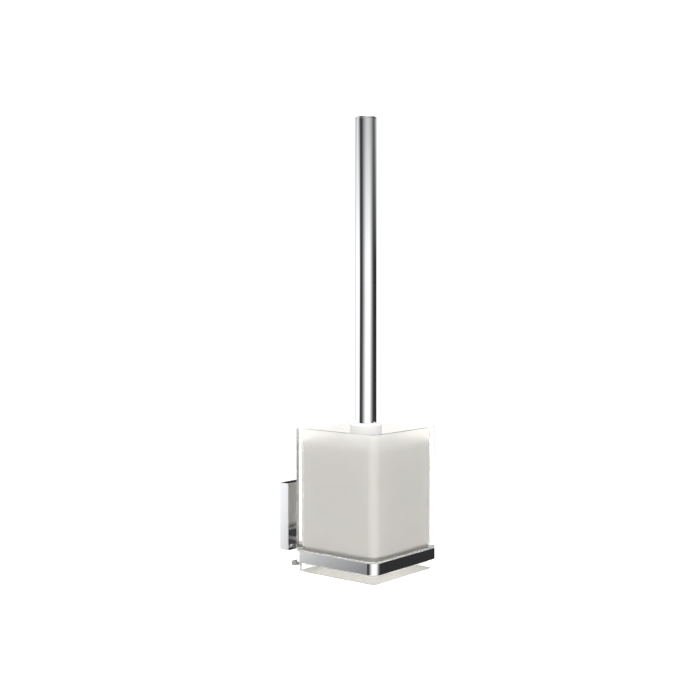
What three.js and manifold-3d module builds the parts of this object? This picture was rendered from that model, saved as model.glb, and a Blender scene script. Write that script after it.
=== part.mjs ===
// Wall-hung toilet brush holder: a square satin glass tumbler in a chrome ring, with a lift-out brush.
// Millimetres, +Z up. The origin is the centre of the wall plate on the wall's surface, and +Y points
// into the wall, so the whole object lies on the -Y side.

import * as THREE from 'three';
import { mergeVertices } from 'three/addons/utils/BufferGeometryUtils.js';
import Module from 'manifold-3d';

const wasm = await Module();
wasm.setup();

// ---------- driving dimensions ----------

// general fits
const REST_GAP = 0.15;          // between pieces that rest on or touch each other
const FIT_GAP = 0.3;            // around pieces that slide or turn in one another
const THREAD_GAP = 0.15;        // around a screw's shank in its hole
const OVERRUN = 1;              // how far a cutting tool runs past the face that it cuts
const ARC_STEPS = 6;            // steps in each quarter turn of a rounded corner
const ROUND_STEPS = 36;         // sides of a large turned piece
const SCREW_STEPS = 18;         // sides of a screw

// cover over the wall plate
const COVER_WIDTH = 34;
const COVER_HEIGHT = 62;
const COVER_DEPTH = 11;
const COVER_WALL = 1.8;
const BOSS_WIDTH = 8;           // the cover's inner bosses, one above and one below the wall plate
const BOSS_HEIGHT = 4;
const BOSS_WALL = 0.7;

// wall plate and its screws
const PLATE_WIDTH = 26;
const PLATE_THICKNESS = 3;
const PLATE_FLANGE_GAP = 2.2;
const PLATE_FLANGE_THICKNESS = 2;
const WALL_SCREW_FROM_FLANGE = 8.2;
const WALL_SCREW_RADIUS = 2.1;
const WALL_HEAD_RADIUS = 3.9;
const WALL_HEAD_HEIGHT = 2.4;
const WASHER_RADIUS = 4.8;
const WASHER_THICKNESS = 0.8;

// grub screw that clamps the cover to the wall plate
const GRUB_RADIUS = 2;
const GRUB_LENGTH = 6;
const GRUB_FROM_WALL = 4;
const GRUB_REACH = 1;           // from the boss to the wall plate's lower flange

// arm between the cover and the ring
const ARM_REACH = 31.5;
const ARM_WIDTH = 12;
const ARM_HEIGHT = 8;
const ARM_SCREW_SPACING = 6.2;
const ARM_SCREW_RISE = 5;
const ARM_SCREW_RADIUS = 1.4;
const ARM_SCREW_DEPTH = 10;
const ARM_HEAD_RADIUS = 2.6;
const ARM_HEAD_HEIGHT = 1.4;

// ring, its lining sleeve and the bar under its back edge
const RING_HEIGHT = 10;
const SLEEVE_WALL = 0.8;
const SLEEVE_FLANGE = 0.5;
const SLEEVE_INSET = 0.5;
const SLEEVE_DEPTH = 8;
const BAR_HEIGHT = 3.9;
const BAR_BEHIND_RING = 2.9;
const BAR_END_INSET = 1.7;

// glass tumbler
const TUMBLER_SIDE = 93;
const TUMBLER_HEIGHT = 127;
const TUMBLER_CORNER = 8.6;
const TUMBLER_WALL = 4.8;
const TUMBLER_FLOOR = 6;
const CAVITY_CORNER = 3.8;
const FOOT_SIDE = 86.4;
const FOOT_CORNER = 5.3;
const FOOT_HEIGHT = 19.8;
const FOOT_WALL = 4.2;
const LEDGE_HEIGHT = 23;

// liner cup and the pad under it
const LINER_GAP = 0.7;
const LINER_WALL = 1.6;
const LINER_FLOOR = 2;
const LINER_BELOW_RIM = 11.6;
const PAD_INSET = 9;
const PAD_THICKNESS = 1.2;

// handle
const HANDLE_RADIUS = 9.5;
const HANDLE_WALL = 1;
const HANDLE_TOP = 277;         // above the tumbler's rim
const CAP_DISC = 1.5;
const CAP_BEVEL = 0.5;
const CAP_PLUG = 8;
const INSERT_LENGTH = 32;
const STUD_RADIUS = 3;
const STUD_CHAMFER = 0.6;
const STUD_IN_INSERT = 24;
const STUD_IN_HEAD = 16;
const COLLAR_WALL = 4.55;
const COLLAR_HEIGHT = 15;
const COLLAR_ABOVE_RIM = 4;
const COLLAR_SOCKET = 6;
const COLLAR_BEVEL = 0.8;

// brush head
const NECK_RADIUS = 7.5;
const NECK_WAIST = 6;
const NECK_LENGTH = 30;
const HUB_RADIUS = 10;
const HUB_ABOVE_TIP = 20;
const BRISTLE_GAP = 1.7;
const BRISTLE_ROUNDING = 14;
const BRISTLE_SLOPE = 6;

// ---------- places worked out from the sizes ----------

const coverFrontY = -COVER_DEPTH;
const coverBottomZ = -COVER_HEIGHT / 2;
const ringBackY = coverFrontY - ARM_REACH;
const tumblerAxisY = ringBackY - TUMBLER_SIDE / 2;

const ringBottomZ = coverBottomZ;
const ringTopZ = ringBottomZ + RING_HEIGHT;
const shoulderZ = ringTopZ + REST_GAP + SLEEVE_FLANGE + REST_GAP;
const tumblerBottomZ = shoulderZ - FOOT_HEIGHT;
const rimZ = tumblerBottomZ + TUMBLER_HEIGHT;
const tumblerFloorZ = tumblerBottomZ + TUMBLER_FLOOR;
const ledgeZ = tumblerBottomZ + LEDGE_HEIGHT;

const sleeveInner = FOOT_SIDE + 2 * FIT_GAP;
const sleeveOuter = sleeveInner + 2 * SLEEVE_WALL;
const sleeveCorner = FOOT_CORNER + FIT_GAP + SLEEVE_WALL;
const ringInner = sleeveOuter + 2 * REST_GAP;
const ringWall = (TUMBLER_SIDE - ringInner) / 2;

const cavitySide = TUMBLER_SIDE - 2 * TUMBLER_WALL;
const footCavitySide = FOOT_SIDE - 2 * FOOT_WALL;
const linerSide = cavitySide - 2 * LINER_GAP;
const linerFootSide = footCavitySide - 2 * LINER_GAP;
const linerBottomZ = tumblerFloorZ + REST_GAP + PAD_THICKNESS + REST_GAP;
const linerTopZ = rimZ - LINER_BELOW_RIM;
const linerStepZ = ledgeZ + FIT_GAP;
const linerFloorZ = linerBottomZ + LINER_FLOOR;

const bristleRadius = linerFootSide / 2 - LINER_WALL - BRISTLE_GAP;
const bristleBottomZ = linerFloorZ + REST_GAP;
const hubBottomZ = bristleBottomZ + HUB_ABOVE_TIP;
const collarTopZ = rimZ + COLLAR_ABOVE_RIM;
const collarBottomZ = collarTopZ - COLLAR_HEIGHT;
const neckTopZ = collarBottomZ - REST_GAP;
const hubTopZ = neckTopZ - NECK_LENGTH;
const tubeBottomZ = collarTopZ - COLLAR_SOCKET + REST_GAP;
const tubeTopZ = rimZ + HANDLE_TOP - CAP_DISC - REST_GAP;
const collarRadius = HANDLE_RADIUS + THREAD_GAP + COLLAR_WALL;
const tubeBore = HANDLE_RADIUS - HANDLE_WALL;

// ---------- materials ----------

function material(color, roughness, metalness, extra = {}) {
  return new THREE.MeshStandardMaterial({ color, roughness, metalness, ...extra });
}

const chrome = () => material(0xd8dade, 0.06, 1);
const stainless = () => material(0xa9abae, 0.35, 1);
const satinGlass = () => material(0xdedcd6, 0.45, 0, { transparent: true, opacity: 0.6 });
const clearPlastic = () => material(0xe6e8e8, 0.3, 0, { transparent: true, opacity: 0.7 });
const whitePlastic = () => material(0xf3f3f1, 0.35, 0);
const linerPlastic = () => material(0xe8e7e2, 0.5, 0);
const softRubber = () => material(0x8f9190, 0.8, 0);
const nylonBristle = () => material(0xf6f6f4, 0.7, 0);

// ---------- shapes and solids ----------

const HEAD_EDGE_SHARE = 0.35;       // a pan head's bevel, as a share of the head's height
const SOCKET_SHARE = 0.9;           // a key socket across its flats, as a share of the head's radius
const SOCKET_FLOOR_SHARE = 0.4;     // what is left under a key socket, as a share of the head's height

// A square outline with rounded corners, centred on the origin.
function roundedSquare(side, radius) {
  const half = side / 2;
  const inner = half - radius;
  const shape = new THREE.Shape();
  shape.moveTo(half, -inner);
  shape.lineTo(half, inner);
  shape.absarc(inner, inner, radius, 0, Math.PI / 2);
  shape.lineTo(-inner, half);
  shape.absarc(-inner, inner, radius, Math.PI / 2, Math.PI);
  shape.lineTo(-half, -inner);
  shape.absarc(-inner, -inner, radius, Math.PI, 1.5 * Math.PI);
  shape.lineTo(inner, -half);
  shape.absarc(inner, -inner, radius, 1.5 * Math.PI, 2 * Math.PI);
  return shape;
}

// An upright prism of an outline, from one height to another.
function prism(shape, bottom, top) {
  const settings = { depth: top - bottom, bevelEnabled: false, curveSegments: ARC_STEPS };
  return new THREE.ExtrudeGeometry(shape, settings).translate(0, 0, bottom);
}

function squarePrism(side, radius, bottom, top) {
  return prism(roundedSquare(side, radius), bottom, top);
}

// A prism along X, centred on it, of an outline whose points are given as Y and Z.
function alongX(shape, width) {
  const turn = new THREE.Matrix4().makeBasis(
    new THREE.Vector3(0, 1, 0), new THREE.Vector3(0, 0, 1), new THREE.Vector3(1, 0, 0),
  );
  return prism(shape, -width / 2, width / 2).applyMatrix4(turn);
}

// A box given by its lowest and highest corners.
function block(low, high) {
  const size = high.map((value, i) => value - low[i]);
  const middle = high.map((value, i) => (value + low[i]) / 2);
  return new THREE.BoxGeometry(...size).translate(...middle);
}

// A solid of revolution about Z from [radius, height] pairs that start and end on the axis.
function turned(profile, steps = ROUND_STEPS) {
  const points = profile.map(([radius, height]) => new THREE.Vector2(radius, height));
  return new THREE.LatheGeometry(points, steps).rotateX(Math.PI / 2);
}

// An upright rod from one height to another.
function rod(radius, bottom, top, steps = SCREW_STEPS) {
  return turned([[0, bottom], [radius, bottom], [radius, top], [0, top]], steps);
}

// A hexagonal key socket's cutting tool, from one height to another.
function hexSocket(acrossFlats, bottom, top) {
  const cornerRadius = acrossFlats / Math.sqrt(3);
  return new THREE.CylinderGeometry(cornerRadius, cornerRadius, top - bottom, 6)
    .rotateX(Math.PI / 2)
    .translate(0, 0, (top + bottom) / 2);
}

function solidOf(geometry) {
  const bare = geometry.clone();
  bare.deleteAttribute('normal');
  bare.deleteAttribute('uv');
  const merged = mergeVertices(bare, 1e-4);
  const vertProperties = new Float32Array(merged.attributes.position.array);
  const triVerts = new Uint32Array(merged.index.array);
  return new wasm.Manifold(new wasm.Mesh({ numProp: 3, vertProperties, triVerts }));
}

function geometryOf(solid) {
  const mesh = solid.getMesh();
  const geometry = new THREE.BufferGeometry();
  geometry.setAttribute('position', new THREE.BufferAttribute(mesh.vertProperties, 3));
  geometry.setIndex(new THREE.BufferAttribute(mesh.triVerts, 1));
  return geometry;
}

// One solid: a body, joined with what is added and then cut by what is taken away.
function carve(body, { add = [], cut = [] }) {
  let solid = solidOf(body);
  for (const extra of add) solid = solid.add(solidOf(extra));
  for (const tool of cut) solid = solid.subtract(solidOf(tool));
  return geometryOf(solid);
}

function piece(name, geometry, finish) {
  const mesh = new THREE.Mesh(geometry, finish);
  mesh.name = name;
  return mesh;
}

// A screw along Z with its head's underside at 0 and its shank pointing down.
function panScrew(headRadius, headHeight, shankRadius, shankLength) {
  const edge = headHeight * HEAD_EDGE_SHARE;
  const body = turned([
    [0, -shankLength],
    [shankRadius, -shankLength],
    [shankRadius, 0],
    [headRadius, 0],
    [headRadius, headHeight - edge],
    [headRadius - edge, headHeight],
    [0, headHeight],
  ], SCREW_STEPS);
  const socketFloor = headHeight * SOCKET_FLOOR_SHARE;
  return carve(body, { cut: [hexSocket(headRadius * SOCKET_SHARE, socketFloor, headHeight + OVERRUN)] });
}

// A countersunk screw along Z with its flat head at 0 and its shank pointing down.
function flatScrew(headRadius, headHeight, shankRadius, length) {
  const body = turned([
    [0, -length],
    [shankRadius, -length],
    [shankRadius, -headHeight],
    [headRadius, 0],
    [0, 0],
  ], SCREW_STEPS);
  const socketFloor = headHeight * (SOCKET_FLOOR_SHARE - 1);
  return carve(body, { cut: [hexSocket(headRadius * SOCKET_SHARE / 2, socketFloor, OVERRUN)] });
}

// ---------- wall fixing ----------

const plateBottomZ = coverBottomZ + COVER_WALL + BOSS_HEIGHT + GRUB_REACH;
const plateTopZ = -plateBottomZ;
const wallScrewZ = plateTopZ - PLATE_FLANGE_THICKNESS - WALL_SCREW_FROM_FLANGE;

// A channel that is open to the front, with two screw holes in its web.
function wallPlate() {
  const back = 0;
  const web = -PLATE_THICKNESS;
  const front = coverFrontY + COVER_WALL + PLATE_FLANGE_GAP;
  const lowerFlangeTop = plateBottomZ + PLATE_FLANGE_THICKNESS;
  const upperFlangeBottom = plateTopZ - PLATE_FLANGE_THICKNESS;
  const section = new THREE.Shape([
    [back, plateBottomZ],
    [back, plateTopZ],
    [front, plateTopZ],
    [front, upperFlangeBottom],
    [web, upperFlangeBottom],
    [web, lowerFlangeTop],
    [front, lowerFlangeTop],
    [front, plateBottomZ],
  ].map(([y, z]) => new THREE.Vector2(y, z)));
  const hole = (height) => rod(WALL_SCREW_RADIUS + THREAD_GAP, -OVERRUN, PLATE_THICKNESS + OVERRUN)
    .rotateX(Math.PI / 2)
    .translate(0, 0, height);
  return carve(alongX(section, PLATE_WIDTH), {
    cut: [hole(wallScrewZ), hole(-wallScrewZ)],
  });
}

function washer() {
  const bore = WALL_SCREW_RADIUS + THREAD_GAP;
  return carve(rod(WASHER_RADIUS, 0, WASHER_THICKNESS), {
    cut: [rod(bore, -OVERRUN, WASHER_THICKNESS + OVERRUN)],
  });
}

function wallFixing() {
  const group = new THREE.Group();
  group.add(piece('wall_plate', wallPlate(), stainless()));
  const washerY = -PLATE_THICKNESS - REST_GAP;
  const headY = washerY - WASHER_THICKNESS - REST_GAP;
  const shank = -headY - REST_GAP;
  for (const [place, side] of [['upper', 1], ['lower', -1]]) {
    const fixing = new THREE.Group();
    fixing.position.set(0, 0, side * wallScrewZ);
    const ring = piece(`wall_washer_${place}`, washer(), whitePlastic());
    ring.rotation.x = Math.PI / 2;
    ring.position.y = washerY;
    const screwShape = panScrew(WALL_HEAD_RADIUS, WALL_HEAD_HEIGHT, WALL_SCREW_RADIUS, shank);
    const screw = piece(`wall_screw_${place}`, screwShape, stainless());
    screw.rotation.x = Math.PI / 2;
    screw.position.y = headY;
    fixing.add(ring, screw);
    group.add(fixing);
  }
  return group;
}

// ---------- cover, arm, ring ----------

const armCentreZ = coverBottomZ + ARM_SCREW_RISE;
const armFrontY = ringBackY + REST_GAP;
const armRearY = coverFrontY - REST_GAP;

// Two rods along Y at the places of the arm's screws.
function armScrewHoles(radius, front, rear) {
  return [-1, 1].map((side) => rod(radius, -rear, -front)
    .rotateX(Math.PI / 2)
    .translate(side * ARM_SCREW_SPACING / 2, 0, armCentreZ));
}

// Cutting tools for two countersunk holes through a wall whose inner face is at a place along Y.
// The heads face towards +Y when facing is 1, and towards -Y when it is -1.
function screwSeats(wall, faceY, facing) {
  const radius = ARM_SCREW_RADIUS + THREAD_GAP;
  const headRadius = ARM_HEAD_RADIUS + THREAD_GAP;
  return [-1, 1].map((side) => turned([
    [0, -wall - OVERRUN],
    [radius, -wall - OVERRUN],
    [radius, -ARM_HEAD_HEIGHT - THREAD_GAP],
    [headRadius, 0],
    [headRadius, OVERRUN],
    [0, OVERRUN],
  ], SCREW_STEPS)
    .rotateX(-facing * Math.PI / 2)
    .translate(side * ARM_SCREW_SPACING / 2, faceY, armCentreZ));
}

// Two countersunk screws into the arm, with their heads flush in the same wall.
function armScrews(name, wall, faceY, facing) {
  const shape = flatScrew(ARM_HEAD_RADIUS, ARM_HEAD_HEIGHT, ARM_SCREW_RADIUS, wall + ARM_SCREW_DEPTH);
  return [['left', -1], ['right', 1]].map(([place, side]) => {
    const screw = piece(`${name}_${place}`, shape, stainless());
    screw.rotation.x = -facing * Math.PI / 2;
    screw.position.set(side * ARM_SCREW_SPACING / 2, faceY, armCentreZ);
    return screw;
  });
}

// A box that is open to the wall. The upper boss hangs on the wall plate, and the lower one holds
// the grub screw.
function cover() {
  const half = COVER_WIDTH / 2;
  const top = COVER_HEIGHT / 2;
  const shell = block([-half, coverFrontY, -top], [half, 0, top]);
  const hollow = block(
    [-half + COVER_WALL, coverFrontY + COVER_WALL, -top + COVER_WALL],
    [half - COVER_WALL, OVERRUN, top - COVER_WALL],
  );
  const bossHalf = GRUB_RADIUS + BOSS_WALL;
  const boss = (low, high) => block(
    [-BOSS_WIDTH / 2, -GRUB_FROM_WALL - bossHalf, low],
    [BOSS_WIDTH / 2, -GRUB_FROM_WALL + bossHalf, high],
  );
  const lowerBossTop = -top + COVER_WALL + BOSS_HEIGHT;
  const lowerBoss = boss(-top + COVER_WALL / 2, lowerBossTop);
  const upperBoss = boss(plateTopZ + REST_GAP, top - COVER_WALL / 2);
  const grubHole = rod(GRUB_RADIUS + THREAD_GAP, -top - OVERRUN, lowerBossTop + OVERRUN)
    .translate(0, -GRUB_FROM_WALL, 0);
  const box = carve(shell, { cut: [hollow] });
  return carve(box, {
    add: [lowerBoss, upperBoss],
    cut: [grubHole, ...screwSeats(COVER_WALL, coverFrontY + COVER_WALL, 1)],
  });
}

function arm() {
  const half = ARM_WIDTH / 2;
  const bar = block([-half, armFrontY, coverBottomZ], [half, armRearY, coverBottomZ + ARM_HEIGHT]);
  const radius = ARM_SCREW_RADIUS + THREAD_GAP;
  return carve(bar, {
    cut: [
      ...armScrewHoles(radius, armFrontY - OVERRUN, armFrontY + ARM_SCREW_DEPTH + FIT_GAP),
      ...armScrewHoles(radius, armRearY - ARM_SCREW_DEPTH - FIT_GAP, armRearY + OVERRUN),
    ],
  });
}

function grubScrew() {
  const body = rod(GRUB_RADIUS, 0, GRUB_LENGTH);
  return carve(body, { cut: [hexSocket(GRUB_RADIUS, -OVERRUN, GRUB_LENGTH * SOCKET_FLOOR_SHARE)] });
}

function ring() {
  const bandOuter = squarePrism(TUMBLER_SIDE, TUMBLER_CORNER, ringBottomZ, ringTopZ);
  const bandInner = squarePrism(
    ringInner, sleeveCorner + REST_GAP, ringBottomZ - OVERRUN, ringTopZ + OVERRUN,
  );
  const seats = screwSeats(ringWall, ringInner / 2, -1);
  return carve(bandOuter, { cut: [bandInner, ...seats] });
}

function sleeve() {
  const flangeCorner = TUMBLER_CORNER - SLEEVE_INSET;
  const flangeBottom = ringTopZ + REST_GAP;
  const flangeTop = flangeBottom + SLEEVE_FLANGE;
  const wall = squarePrism(
    sleeveOuter, sleeveCorner, ringTopZ - SLEEVE_DEPTH, flangeTop - SLEEVE_FLANGE / 2,
  );
  const flange = squarePrism(TUMBLER_SIDE - 2 * SLEEVE_INSET, flangeCorner, flangeBottom, flangeTop);
  const bore = squarePrism(
    sleeveInner, sleeveCorner - SLEEVE_WALL, ringTopZ - SLEEVE_DEPTH - OVERRUN, flangeTop + OVERRUN,
  );
  return carve(wall, { add: [flange], cut: [bore] });
}

// The bar lies under the ring's back edge, from just behind the tumbler's foot.
function supportBar() {
  const half = TUMBLER_SIDE / 2 - BAR_END_INSET;
  const frontY = tumblerAxisY + FOOT_SIDE / 2 + FIT_GAP;
  const topZ = ringBottomZ - REST_GAP;
  return block([-half, frontY, topZ - BAR_HEIGHT], [half, ringBackY + BAR_BEHIND_RING, topZ]);
}

function holder() {
  const group = new THREE.Group();
  group.add(piece('wall_cover', cover(), chrome()));
  group.add(piece('arm', arm(), chrome()));
  group.add(piece('support_bar', supportBar(), chrome()));

  const grub = piece('grub_screw', grubScrew(), stainless());
  grub.position.set(0, -GRUB_FROM_WALL, plateBottomZ - REST_GAP - GRUB_LENGTH);
  group.add(grub);

  group.add(...armScrews('arm_screw', COVER_WALL, coverFrontY + COVER_WALL, 1));

  const around = new THREE.Group();
  around.position.y = tumblerAxisY;
  around.add(piece('ring', ring(), chrome()));
  around.add(...armScrews('ring_screw', ringWall, ringInner / 2, -1));
  around.add(piece('ring_sleeve', sleeve(), clearPlastic()));
  group.add(around);
  return group;
}

// ---------- tumbler and liner ----------

function tumbler() {
  const body = squarePrism(TUMBLER_SIDE, TUMBLER_CORNER, shoulderZ, rimZ);
  const foot = squarePrism(FOOT_SIDE, FOOT_CORNER, tumblerBottomZ, shoulderZ + OVERRUN);
  const cavity = squarePrism(cavitySide, CAVITY_CORNER, ledgeZ, rimZ + OVERRUN);
  const footCavity = squarePrism(footCavitySide, CAVITY_CORNER, tumblerFloorZ, ledgeZ + OVERRUN);
  return carve(body, { add: [foot], cut: [cavity, footCavity] });
}

function liner() {
  const innerCorner = CAVITY_CORNER - LINER_WALL / 2;
  const body = squarePrism(linerSide, CAVITY_CORNER, linerStepZ, linerTopZ);
  const foot = squarePrism(linerFootSide, CAVITY_CORNER, linerBottomZ, linerStepZ + OVERRUN);
  const room = squarePrism(
    linerSide - 2 * LINER_WALL, innerCorner, linerStepZ + LINER_WALL, linerTopZ + OVERRUN,
  );
  const footRoom = squarePrism(
    linerFootSide - 2 * LINER_WALL, innerCorner, linerFloorZ, linerStepZ + LINER_WALL + OVERRUN,
  );
  return carve(body, { add: [foot], cut: [room, footRoom] });
}

function linerPad() {
  const bottom = tumblerFloorZ + REST_GAP;
  const side = footCavitySide - 2 * PAD_INSET;
  return squarePrism(side, TUMBLER_CORNER, bottom, bottom + PAD_THICKNESS);
}

function vessel() {
  const group = new THREE.Group();
  group.position.y = tumblerAxisY;
  group.add(piece('glass_tumbler', tumbler(), satinGlass()));
  group.add(piece('liner_pad', linerPad(), softRubber()));
  group.add(piece('liner_cup', liner(), linerPlastic()));
  return group;
}

// ---------- brush ----------

function handleTube() {
  return carve(rod(HANDLE_RADIUS, tubeBottomZ, tubeTopZ, ROUND_STEPS), {
    cut: [rod(tubeBore, tubeBottomZ - OVERRUN, tubeTopZ + OVERRUN, ROUND_STEPS)],
  });
}

function handleCap() {
  const discBottom = tubeTopZ + REST_GAP;
  const discTop = discBottom + CAP_DISC;
  const plugRadius = tubeBore - THREAD_GAP;
  return turned([
    [0, discBottom - CAP_PLUG],
    [plugRadius, discBottom - CAP_PLUG],
    [plugRadius, discBottom],
    [HANDLE_RADIUS, discBottom],
    [HANDLE_RADIUS, discTop - CAP_BEVEL],
    [HANDLE_RADIUS - CAP_BEVEL, discTop],
    [0, discTop],
  ]);
}

// Plastic bush in the tube's lower end, with a blind threaded hole from below.
function handleInsert() {
  const bottom = tubeBottomZ + REST_GAP;
  return carve(rod(tubeBore - THREAD_GAP, bottom, bottom + INSERT_LENGTH, ROUND_STEPS), {
    cut: [rod(STUD_RADIUS + THREAD_GAP, bottom - OVERRUN, bottom + STUD_IN_INSERT + FIT_GAP)],
  });
}

function handleStud() {
  const bottom = neckTopZ - STUD_IN_HEAD;
  const top = tubeBottomZ + REST_GAP + STUD_IN_INSERT;
  return turned([
    [0, bottom],
    [STUD_RADIUS - STUD_CHAMFER, bottom],
    [STUD_RADIUS, bottom + STUD_CHAMFER],
    [STUD_RADIUS, top - STUD_CHAMFER],
    [STUD_RADIUS - STUD_CHAMFER, top],
    [0, top],
  ], SCREW_STEPS);
}

// White collar that the tube's end is sunk in.
function collar() {
  const body = turned([
    [0, collarBottomZ],
    [collarRadius - COLLAR_BEVEL, collarBottomZ],
    [collarRadius, collarBottomZ + COLLAR_BEVEL],
    [collarRadius, collarTopZ - COLLAR_BEVEL],
    [collarRadius - COLLAR_BEVEL, collarTopZ],
    [0, collarTopZ],
  ]);
  return carve(body, {
    cut: [
      rod(HANDLE_RADIUS + THREAD_GAP, collarTopZ - COLLAR_SOCKET, collarTopZ + OVERRUN, ROUND_STEPS),
      rod(STUD_RADIUS + THREAD_GAP, collarBottomZ - OVERRUN, collarTopZ),
    ],
  });
}

// Neck and hub in one moulding, with a blind threaded hole from above.
function brushHub() {
  const body = turned([
    [0, hubBottomZ],
    [HUB_RADIUS, hubBottomZ],
    [HUB_RADIUS, hubTopZ],
    [NECK_WAIST, hubTopZ + HUB_RADIUS - NECK_WAIST],
    [NECK_RADIUS, neckTopZ - STUD_IN_HEAD],
    [NECK_RADIUS, neckTopZ],
    [0, neckTopZ],
  ]);
  return carve(body, {
    cut: [rod(STUD_RADIUS + THREAD_GAP, neckTopZ - STUD_IN_HEAD - FIT_GAP, neckTopZ + OVERRUN)],
  });
}

// The outer shape of the tufts around the hub.
function sideBristles() {
  const bottom = hubBottomZ + FIT_GAP;
  const top = hubTopZ - FIT_GAP;
  const body = turned([
    [0, bottom],
    [bristleRadius, bottom],
    [bristleRadius, top - BRISTLE_SLOPE],
    [bristleRadius - BRISTLE_SLOPE, top],
    [0, top],
  ]);
  return carve(body, { cut: [rod(HUB_RADIUS + REST_GAP, bottom - OVERRUN, top + OVERRUN, ROUND_STEPS)] });
}

// The outer shape of the tufts under the hub, with a round lower edge.
function endBristles() {
  const top = hubBottomZ - REST_GAP;
  const centreRadius = bristleRadius - BRISTLE_ROUNDING;
  const edge = [];
  for (let i = 0; i <= ARC_STEPS; i += 1) {
    const angle = -Math.PI / 2 + (i / ARC_STEPS) * (Math.PI / 2);
    edge.push([
      centreRadius + BRISTLE_ROUNDING * Math.cos(angle),
      bristleBottomZ + BRISTLE_ROUNDING * (1 + Math.sin(angle)),
    ]);
  }
  return turned([[0, bristleBottomZ], ...edge, [bristleRadius, top], [0, top]]);
}

function brush() {
  const group = new THREE.Group();
  group.position.y = tumblerAxisY;
  group.add(piece('handle_tube', handleTube(), chrome()));
  group.add(piece('handle_cap', handleCap(), chrome()));
  group.add(piece('handle_insert', handleInsert(), whitePlastic()));
  group.add(piece('handle_stud', handleStud(), stainless()));
  group.add(piece('collar', collar(), whitePlastic()));
  group.add(piece('brush_hub', brushHub(), whitePlastic()));
  group.add(piece('side_bristles', sideBristles(), nylonBristle()));
  group.add(piece('end_bristles', endBristles(), nylonBristle()));
  return group;
}

const brushHolder = new THREE.Group();
brushHolder.add(wallFixing(), holder(), vessel(), brush());

export default brushHolder;
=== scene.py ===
# %% [markdown]
# A wall-hung toilet brush holder: a square satin glass tumbler stands in a chrome ring, an arm carries
# the ring from a small wall cover, and a brush on a tall round chrome handle lifts out of it.
# The working model, its sizes and its joints come from the frame. This script builds the fine surfaces
# round it: rounded edges, real glass walls, tufts and finishes.

import math
import random

import bmesh
import bpy
from mathutils import Matrix, Vector


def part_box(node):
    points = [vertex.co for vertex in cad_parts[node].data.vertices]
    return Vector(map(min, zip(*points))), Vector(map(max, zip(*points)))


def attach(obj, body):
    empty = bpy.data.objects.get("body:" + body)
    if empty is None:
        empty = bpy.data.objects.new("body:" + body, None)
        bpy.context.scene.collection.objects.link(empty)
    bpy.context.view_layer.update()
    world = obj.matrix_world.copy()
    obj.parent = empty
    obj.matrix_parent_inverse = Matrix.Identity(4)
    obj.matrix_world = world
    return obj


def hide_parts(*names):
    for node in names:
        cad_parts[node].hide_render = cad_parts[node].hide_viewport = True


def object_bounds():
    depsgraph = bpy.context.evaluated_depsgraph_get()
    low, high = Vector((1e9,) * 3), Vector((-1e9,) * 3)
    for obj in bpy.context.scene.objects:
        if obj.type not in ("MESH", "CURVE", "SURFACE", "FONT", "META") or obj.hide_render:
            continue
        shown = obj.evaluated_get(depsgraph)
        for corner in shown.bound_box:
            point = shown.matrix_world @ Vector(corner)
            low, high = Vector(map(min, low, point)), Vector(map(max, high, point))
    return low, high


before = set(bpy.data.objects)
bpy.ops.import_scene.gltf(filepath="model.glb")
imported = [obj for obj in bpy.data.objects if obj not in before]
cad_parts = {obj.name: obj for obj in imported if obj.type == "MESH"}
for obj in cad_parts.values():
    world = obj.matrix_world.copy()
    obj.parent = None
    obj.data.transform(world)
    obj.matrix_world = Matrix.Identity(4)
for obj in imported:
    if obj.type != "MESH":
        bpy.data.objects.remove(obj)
cad_low, cad_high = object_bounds()

# %% [markdown]
# Everything is in metres, in the same frame as the working model: +Z is up and +Y points into the wall.
# A millimetre is the handy unit for details, so it gets a name. Every place is read from the box of a
# node of the working model, so that the fine pieces follow it when a size changes.

# %% Units and the main places
MM = 0.001


def middle(node):
    low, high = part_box(node)
    return (low + high) / 2


def width_of(node, direction=0):
    low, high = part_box(node)
    return high[direction] - low[direction]


tumbler_low, tumbler_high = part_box("glass_tumbler")
axis = Vector((middle("glass_tumbler").x, middle("glass_tumbler").y, 0))
print("the tumbler's axis is at", [round(c, 4) for c in axis])

# %% [markdown]
# The camera stands about a metre away, level, so that upright edges stay parallel. It looks at the
# corner between the tumbler's front and left faces, from a little above the handle's middle. A small
# downward shift of the lens frames the object without tilting the camera.

# %% Camera
CAMERA_TURN = math.radians(-50.83)
CAMERA_DISTANCE = 1.0389
CAMERA_SIDESTEP = 0.01423
CAMERA_HEIGHT = 0.2417
CAMERA_LENS = 59.8
CAMERA_SHIFT = -0.0729

forward = Vector((-math.sin(CAMERA_TURN), math.cos(CAMERA_TURN), 0))
sideways = Vector((math.cos(CAMERA_TURN), math.sin(CAMERA_TURN), 0))

camera = bpy.data.objects.new("camera", bpy.data.cameras.new("camera"))
bpy.context.scene.collection.objects.link(camera)
camera.data.lens = CAMERA_LENS
camera.data.shift_y = CAMERA_SHIFT
camera.rotation_euler = (math.pi / 2, 0, CAMERA_TURN)
camera.location = axis - forward * CAMERA_DISTANCE - sideways * CAMERA_SIDESTEP
camera.location.z = tumbler_low.z + CAMERA_HEIGHT
bpy.context.scene.camera = camera
bpy.context.scene.view_settings.view_transform = "Standard"
print("camera at", [round(c, 3) for c in camera.location])

# %% [markdown]
# A shader is a web of nodes, and sums of sockets are easier to read as Python. One small class wraps a
# socket. Its plus, minus and times signs add Math nodes, and its `node` method makes any other node:
# the settings go in first, and then the values or links of its inputs.

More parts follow.
